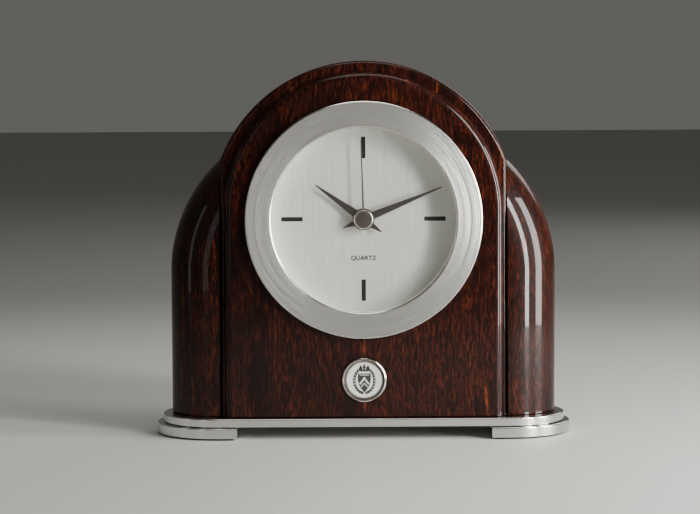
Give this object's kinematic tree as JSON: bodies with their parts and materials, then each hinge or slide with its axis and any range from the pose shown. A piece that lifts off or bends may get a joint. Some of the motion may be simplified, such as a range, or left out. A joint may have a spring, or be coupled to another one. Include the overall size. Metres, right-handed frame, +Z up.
{
  "type": "mantel clock",
  "caption": "Arched wooden mantel clock with pillow-shaped wings, a brushed metal bezel and base, a silvered dial and a quartz movement.",
  "frame": {"origin": "on the surface the clock stands on, under the middle of its bounding box", "axes": "+Z up; -Y out of the dial, towards the reader; +X to the reader's right"},
  "size_m": [0.21, 0.0656, 0.1883],
  "materials": {
    "lacquered_wood": "clear gloss lacquer over dark red-brown figured veneer",
    "bare_wood": "unfinished beech",
    "brushed_aluminium": "fine brushed, satin, with bright chamfers",
    "dial_silver": "silvered, vertically brushed",
    "gunmetal": "dark satin plated",
    "satin_nickel": "satin nickel",
    "polished_rim": "polished",
    "white_enamel": "off-white enamel",
    "clear_glass": "clear flat mineral glass",
    "black_plastic": "moulded, fine matte",
    "gear_nylon": "natural moulded",
    "brass": "turned",
    "zinc_steel": "zinc plated",
    "copper_wire": "enamelled winding wire",
    "green_board": "solder-masked circuit board",
    "battery_wrap": "plain printed wrap",
    "rubber": "matte black"
  },
  "bodies": {
    "case": {"case_body": "lacquered_wood", "front_panel": "lacquered_wood", "back_panel": "lacquered_wood", "wing_left": "lacquered_wood", "wing_right": "lacquered_wood", "wing_dowel_1": "bare_wood", "wing_dowel_2": "bare_wood", "wing_dowel_3": "bare_wood", "wing_dowel_4": "bare_wood", "back_screw_1": "zinc_steel", "back_screw_2": "zinc_steel", "back_screw_3": "zinc_steel", "back_screw_4": "zinc_steel", "base_screw_1": "zinc_steel", "base_screw_2": "zinc_steel", "base_screw_3": "zinc_steel", "base_screw_4": "zinc_steel", "foot_screw_1": "zinc_steel", "foot_screw_2": "zinc_steel", "foot_screw_3": "zinc_steel", "foot_screw_4": "zinc_steel", "base_plate": "brushed_aluminium", "foot_left": "brushed_aluminium", "foot_right": "brushed_aluminium", "foot_pad_left": "rubber", "foot_pad_right": "rubber", "bezel_ring": "brushed_aluminium", "lens_glass": "clear_glass", "dial_spacer_ring": "dial_silver", "dial_plate": "dial_silver", "emblem_rim": "polished_rim", "emblem_disc": "white_enamel", "movement_case": "black_plastic", "movement_cover": "black_plastic", "mounting_washer": "brass", "mounting_nut": "brass", "stator": "zinc_steel", "coil": "copper_wire", "circuit_board": "green_board", "contact_positive": "zinc_steel", "contact_negative": "zinc_steel"},
    "seconds": {"seconds_wheel": "gear_nylon", "second_hand": "satin_nickel", "hub_cap": "satin_nickel"},
    "rotor": {"rotor": "gunmetal"},
    "intermediate": {"intermediate_wheel": "gear_nylon"},
    "third": {"third_wheel": "gear_nylon"},
    "centre": {"centre_wheel": "gear_nylon"},
    "minutes": {"minute_pipe": "brass", "minute_hand": "gunmetal"},
    "setting": {"motion_wheel": "gear_nylon", "setting_knob": "black_plastic"},
    "hours": {"hour_wheel": "gear_nylon", "hour_hand": "gunmetal"},
    "battery": {"battery": "battery_wrap"}
  },
  "joints": [
    {"name": "second_hand_turn", "type": "hinge", "parent": "case", "child": "seconds", "pos_m": [0, 0, 0.1093], "axis": [0, 1, 0], "continuous": true},
    {"name": "third_wheel_turn", "type": "hinge", "parent": "case", "child": "third", "pos_m": [0.00827, 0, 0.10784], "axis": [0, 1, 0], "continuous": true},
    {"name": "centre_wheel_turn", "type": "hinge", "parent": "case", "child": "centre", "pos_m": [0, 0, 0.1093], "axis": [0, 1, 0], "continuous": true},
    {"name": "intermediate_wheel_turn", "type": "hinge", "parent": "case", "child": "intermediate", "pos_m": [0, 0, 0.118], "axis": [0, 1, 0], "continuous": true},
    {"name": "rotor_turn", "type": "hinge", "parent": "case", "child": "rotor", "pos_m": [0.00367, 0, 0.12437], "axis": [0, 1, 0], "continuous": true},
    {"name": "minute_hand_turn", "type": "hinge", "parent": "case", "child": "minutes", "pos_m": [0, 0, 0.1093], "axis": [0, 1, 0], "continuous": true},
    {"name": "setting_knob_turn", "type": "hinge", "parent": "case", "child": "setting", "pos_m": [-0.00886, 0, 0.10774], "axis": [0, 1, 0], "continuous": true},
    {"name": "hour_hand_turn", "type": "hinge", "parent": "case", "child": "hours", "pos_m": [0, 0, 0.1093], "axis": [0, 1, 0], "continuous": true},
    {"name": "battery_slide", "type": "slide", "parent": "case", "child": "battery", "axis": [0, 1, 0], "range_m": [0, 0.036]}
  ],
  "couplings": [
    {"joint": "third_wheel_turn", "follows": "second_hand_turn", "ratio": -0.125},
    {"joint": "centre_wheel_turn", "follows": "second_hand_turn", "ratio": 0.016667},
    {"joint": "intermediate_wheel_turn", "follows": "second_hand_turn", "ratio": -5},
    {"joint": "rotor_turn", "follows": "second_hand_turn", "ratio": 30},
    {"joint": "setting_knob_turn", "follows": "minute_hand_turn", "ratio": -0.33333},
    {"joint": "hour_hand_turn", "follows": "minute_hand_turn", "ratio": 0.083333}
  ]
}
